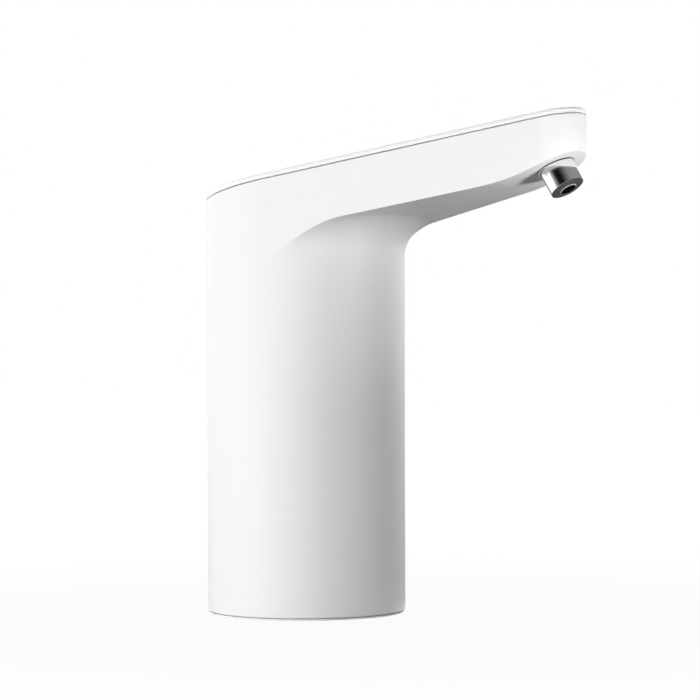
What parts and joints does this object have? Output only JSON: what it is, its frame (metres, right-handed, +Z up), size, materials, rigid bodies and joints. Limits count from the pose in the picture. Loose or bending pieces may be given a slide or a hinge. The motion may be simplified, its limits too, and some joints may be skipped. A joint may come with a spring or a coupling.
{
  "type": "electric water jug pump",
  "caption": "Battery pump that seats on a large water bottle's neck: an upright cylinder flows into a long tapered head with a push button and a leaning metal spout.",
  "frame": {"origin": "below the middle of the length, on the plane the foot ring stands on", "axes": "+Z up, +X the way the head reaches out to the spout, Y across; the XZ plane is the middle plane"},
  "size_m": [0.1494, 0.07, 0.1714],
  "materials": {
    "shell_white": "moulded, fine texture",
    "lid_white": "moulded, satin",
    "ring_pale": "translucent, frosted",
    "steel": "satin stainless",
    "zinc_steel": "zinc plated",
    "brass": "plain",
    "dark_rubber": "moulded silicone",
    "grey_rubber": "moulded silicone",
    "clear_rubber": "milky silicone",
    "grey_plastic": "moulded",
    "black_plastic": "moulded",
    "natural_plastic": "moulded, unpigmented",
    "board_green": "laminate with solder mask",
    "cell_wrap": "steel can in a shrunk film",
    "ferrite": "pressed and laminated"
  },
  "bodies": {
    "pump_unit": {"main_housing": "shell_white", "top_cover": "lid_white", "light_ring": "ring_pale", "switch_body": "zinc_steel", "control_board": "board_green", "status_led": "ring_pale", "board_screw_1": "zinc_steel", "board_screw_2": "zinc_steel", "board_screw_3": "zinc_steel", "board_screw_4": "zinc_steel", "base_cup": "shell_white", "neck_sleeve": "grey_rubber", "inlet_fitting": "steel", "inlet_seal": "dark_rubber", "inlet_nut": "steel", "base_screw_1": "zinc_steel", "base_screw_2": "zinc_steel", "base_screw_3": "zinc_steel", "base_screw_4": "zinc_steel", "chassis": "grey_plastic", "battery_cell": "cell_wrap", "cell_contact_lower": "zinc_steel", "cell_contact_upper": "zinc_steel", "pump_body": "natural_plastic", "pump_cover": "natural_plastic", "pump_gasket": "dark_rubber", "shaft_seal": "dark_rubber", "idler_pin": "steel", "pump_screw_1": "zinc_steel", "pump_screw_2": "zinc_steel", "pump_screw_3": "zinc_steel", "pump_screw_4": "zinc_steel", "motor_can": "zinc_steel", "motor_end_cap": "black_plastic", "motor_magnet_1": "ferrite", "motor_terminal_1": "brass", "motor_magnet_2": "ferrite", "motor_terminal_2": "brass", "delivery_hose": "clear_rubber", "spout_collar": "shell_white", "spout_tube": "steel", "nozzle_insert": "dark_rubber", "charging_board": "board_green", "charging_socket": "steel", "charge_screw_1": "zinc_steel", "charge_screw_2": "zinc_steel", "port_hinge_pin": "steel"},
    "rotor": {"motor_shaft": "steel", "rotor_core": "ferrite", "commutator": "brass", "drive_gear": "black_plastic"},
    "idler": {"driven_gear": "black_plastic"},
    "button": {"power_button": "lid_white", "switch_plunger": "black_plastic"},
    "port_flap": {"port_cover": "grey_rubber"}
  },
  "joints": [
    {"name": "motor_spin", "type": "hinge", "parent": "pump_unit", "child": "rotor", "pos_m": [-0.0353, -0.0056, 0.062], "axis": [0, 0, 1], "continuous": true},
    {"name": "idler_spin", "type": "hinge", "parent": "pump_unit", "child": "idler", "pos_m": [-0.0353, 0.0056, 0.0424], "axis": [0, 0, 1], "continuous": true},
    {"name": "button_press", "type": "slide", "parent": "pump_unit", "child": "button", "axis": [0.1736, 0, -0.9848], "range_m": [0, 0.0005], "stiffness_N_per_m": 2000, "springref_m": -0.0003},
    {"name": "port_flap_hinge", "type": "hinge", "parent": "pump_unit", "child": "port_flap", "pos_m": [-0.0728, 0.0086, 0.1114], "axis": [0, 0, -1], "range_deg": [0, 85]}
  ],
  "couplings": [
    {"joint": "idler_spin", "follows": "motor_spin", "ratio": -1}
  ]
}
